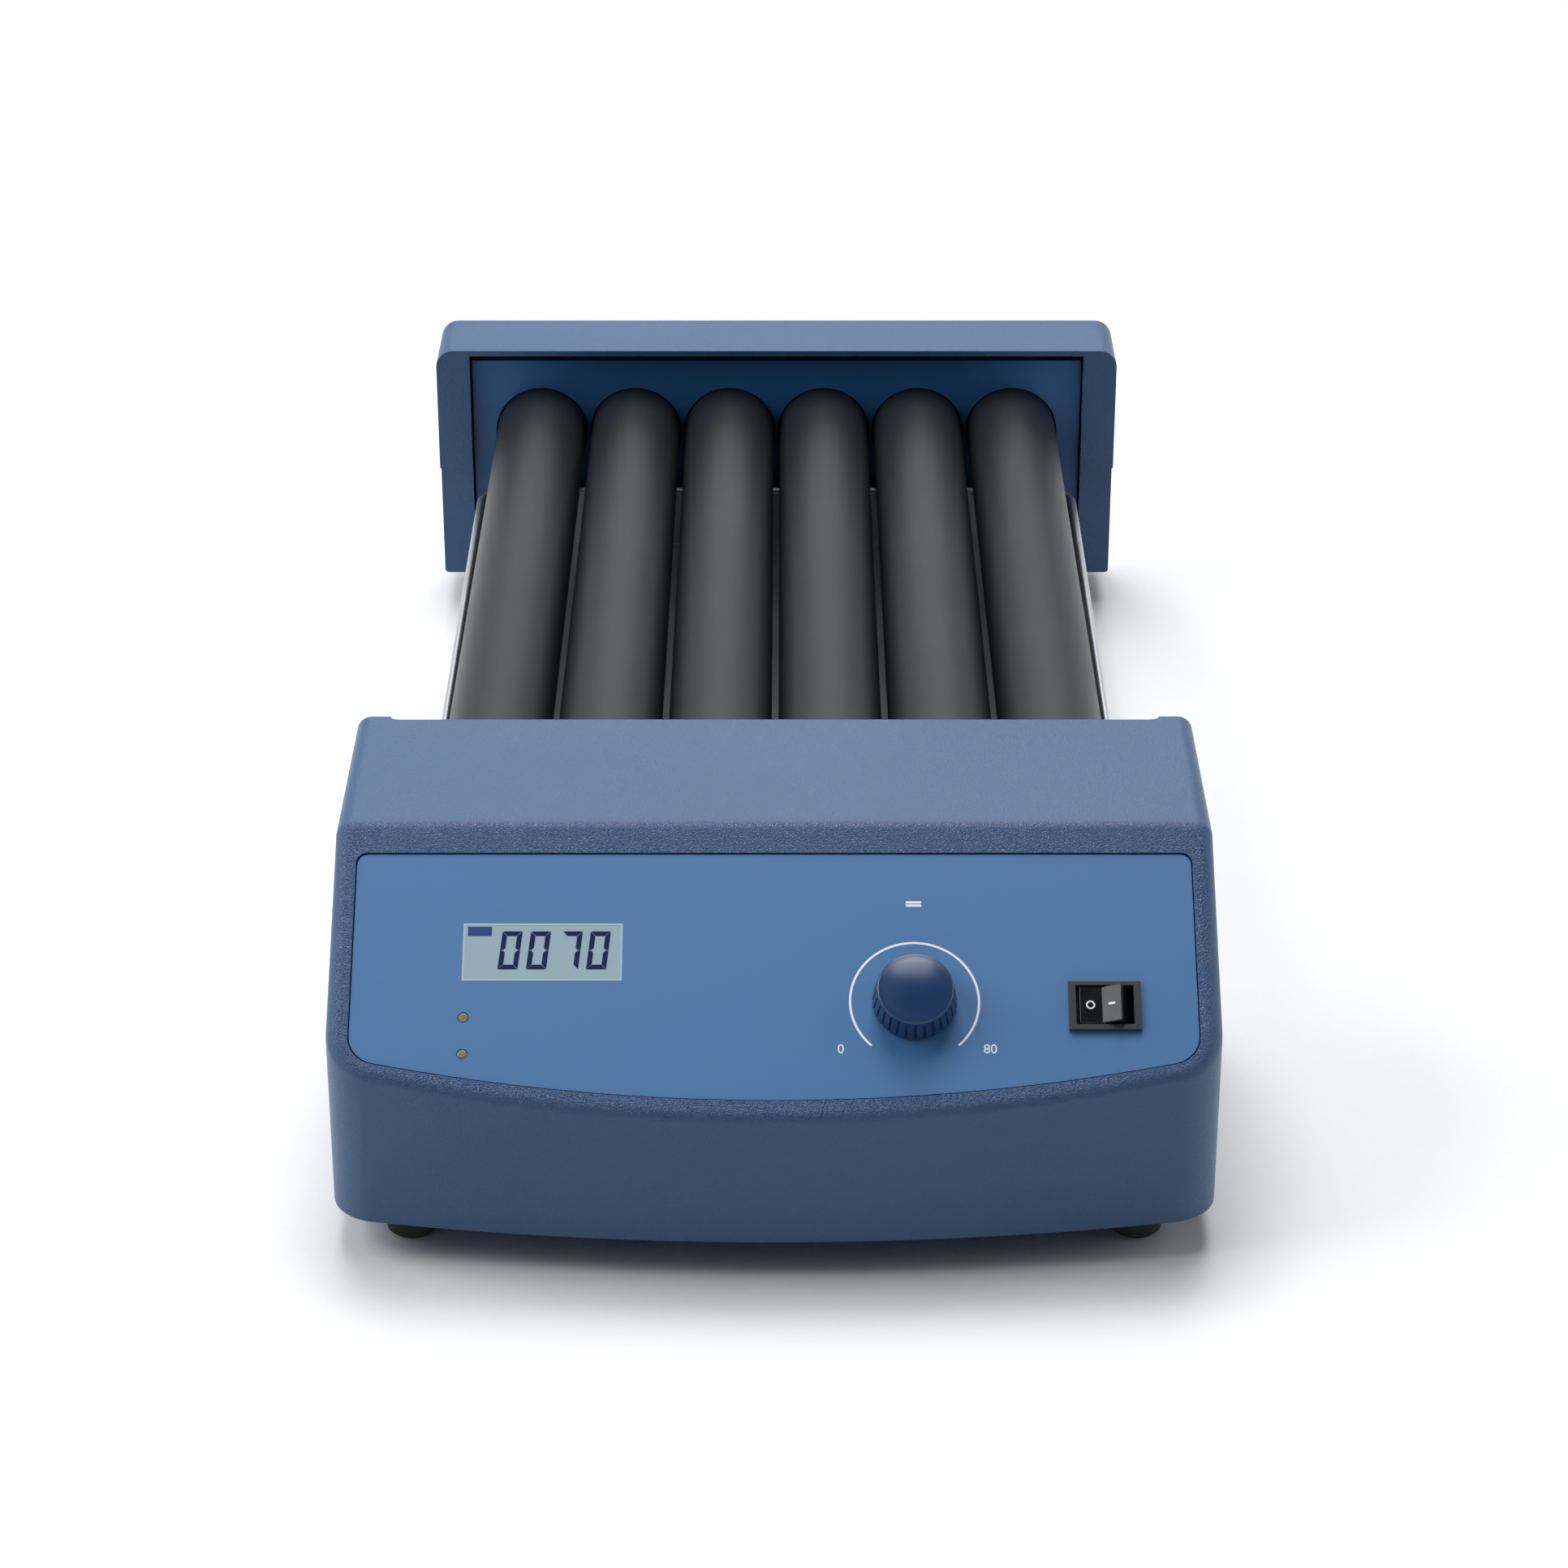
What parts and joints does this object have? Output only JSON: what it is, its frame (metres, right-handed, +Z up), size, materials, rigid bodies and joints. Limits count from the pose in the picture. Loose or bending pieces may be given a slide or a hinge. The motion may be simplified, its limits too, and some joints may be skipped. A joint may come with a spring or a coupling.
{
  "type": "roller mixer",
  "caption": "Bench roller mixer: parallel rubber rollers turn together between a sloped control housing with display, knob and switch and a low end housing.",
  "frame": {"origin": "on the table, under the middle of the machine's outer box", "axes": "+X across the rollers to the right as seen from the controls, +Y along the rollers from the controls to the end housing, +Z up"},
  "size_m": [0.235, 0.462, 0.099],
  "materials": {
    "housing_plastic": "fine leather grain, semi-gloss, dark blue",
    "panel_plastic": "smooth matt, mid blue",
    "display_glass": "clear grey-blue display window",
    "display_plastic": "grey display module",
    "board": "green circuit board",
    "lens": "beige translucent lens",
    "knob_plastic": "dark blue, glossy cap and fluted skirt",
    "black_plastic": "black, semi-gloss",
    "bright_steel": "bright stainless sheet",
    "zinc_steel": "zinc plated",
    "painted_panel": "dark blue paint, satin",
    "screw_steel": "zinc plated screws",
    "standoff_brass": "turned brass",
    "core_iron": "laminated iron and copper, taken as iron",
    "bush_nylon": "off-white nylon",
    "pulley_nylon": "black nylon",
    "belt_rubber": "black belt",
    "foot_rubber": "black rubber",
    "roller_rubber": "charcoal rubber, satin with a fine grain",
    "roller_metal": "turned aluminium"
  },
  "bodies": {
    "housing": {"head_cover": "housing_plastic", "head_base": "housing_plastic", "head_bulkhead": "zinc_steel", "control_panel": "panel_plastic", "lcd_window": "display_glass", "lcd_module": "display_plastic", "display_board": "board", "indicator_lenses": "lens", "potentiometer": "black_plastic", "potentiometer_nut": "bright_steel", "switch_housing": "black_plastic", "control_board": "board", "board_standoffs": "standoff_brass", "transformer": "core_iron", "mains_inlet": "black_plastic", "motor": "zinc_steel", "gearbox": "zinc_steel", "motor_bracket": "zinc_steel", "near_bearings": "bush_nylon", "far_bearings": "bush_nylon", "link_belts": "belt_rubber", "motor_belt": "belt_rubber", "rubber_feet": "foot_rubber", "foot_screws": "screw_steel", "cover_screws": "screw_steel", "frame_screws": "screw_steel", "rear_cover": "housing_plastic", "rear_base": "housing_plastic", "rear_panel": "painted_panel", "bearing_plate": "zinc_steel", "chassis": "zinc_steel", "drip_tray": "bright_steel"},
    "roller_1": {"roller_sleeve_1": "roller_rubber", "roller_core_1": "roller_metal", "roller_pulley_1": "pulley_nylon"},
    "roller_2": {"roller_sleeve_2": "roller_rubber", "roller_core_2": "roller_metal", "roller_pulley_2": "pulley_nylon"},
    "roller_3": {"roller_sleeve_3": "roller_rubber", "roller_core_3": "roller_metal", "roller_pulley_3": "pulley_nylon"},
    "roller_4": {"roller_sleeve_4": "roller_rubber", "roller_core_4": "roller_metal", "roller_pulley_4": "pulley_nylon"},
    "roller_5": {"roller_sleeve_5": "roller_rubber", "roller_core_5": "roller_metal", "roller_pulley_5": "pulley_nylon"},
    "roller_6": {"roller_sleeve_6": "roller_rubber", "roller_core_6": "roller_metal", "roller_pulley_6": "pulley_nylon"},
    "speed_control": {"speed_knob": "knob_plastic", "potentiometer_shaft": "bright_steel"},
    "power_rocker": {"switch_rocker": "black_plastic"},
    "motor_output": {"drive_pulley": "pulley_nylon", "gearbox_shaft": "bright_steel"}
  },
  "joints": [
    {"name": "roller_1_spin", "type": "hinge", "parent": "housing", "child": "roller_1", "pos_m": [-0.08125, 0, 0.0639], "axis": [0, 1, 0], "continuous": true},
    {"name": "roller_2_spin", "type": "hinge", "parent": "housing", "child": "roller_2", "pos_m": [-0.04875, 0, 0.0639], "axis": [0, 1, 0], "continuous": true},
    {"name": "roller_3_spin", "type": "hinge", "parent": "housing", "child": "roller_3", "pos_m": [-0.01625, 0, 0.0639], "axis": [0, 1, 0], "continuous": true},
    {"name": "roller_4_spin", "type": "hinge", "parent": "housing", "child": "roller_4", "pos_m": [0.01625, 0, 0.0639], "axis": [0, 1, 0], "continuous": true},
    {"name": "roller_5_spin", "type": "hinge", "parent": "housing", "child": "roller_5", "pos_m": [0.04875, 0, 0.0639], "axis": [0, 1, 0], "continuous": true},
    {"name": "roller_6_spin", "type": "hinge", "parent": "housing", "child": "roller_6", "pos_m": [0.08125, 0, 0.0639], "axis": [0, 1, 0], "continuous": true},
    {"name": "motor_output_spin", "type": "hinge", "parent": "housing", "child": "motor_output", "pos_m": [-0.07, -0.1114, 0.037], "axis": [0, 1, 0], "continuous": true},
    {"name": "speed_knob_turn", "type": "hinge", "parent": "housing", "child": "speed_control", "pos_m": [0.0368, -0.20409, 0.06855], "axis": [0, -0.5878, 0.809], "range_deg": [-135, 135]},
    {"name": "power_rocker_tilt", "type": "hinge", "parent": "housing", "child": "power_rocker", "pos_m": [0.0866, -0.20305, 0.06474], "axis": [0, 0.809, 0.5878], "range_deg": [0, 24]}
  ],
  "couplings": [
    {"joint": "roller_2_spin", "follows": "roller_1_spin", "ratio": 1},
    {"joint": "roller_3_spin", "follows": "roller_1_spin", "ratio": 1},
    {"joint": "roller_4_spin", "follows": "roller_1_spin", "ratio": 1},
    {"joint": "roller_5_spin", "follows": "roller_1_spin", "ratio": 1},
    {"joint": "roller_6_spin", "follows": "roller_1_spin", "ratio": 1},
    {"joint": "motor_output_spin", "follows": "roller_1_spin", "ratio": 1.3846}
  ]
}
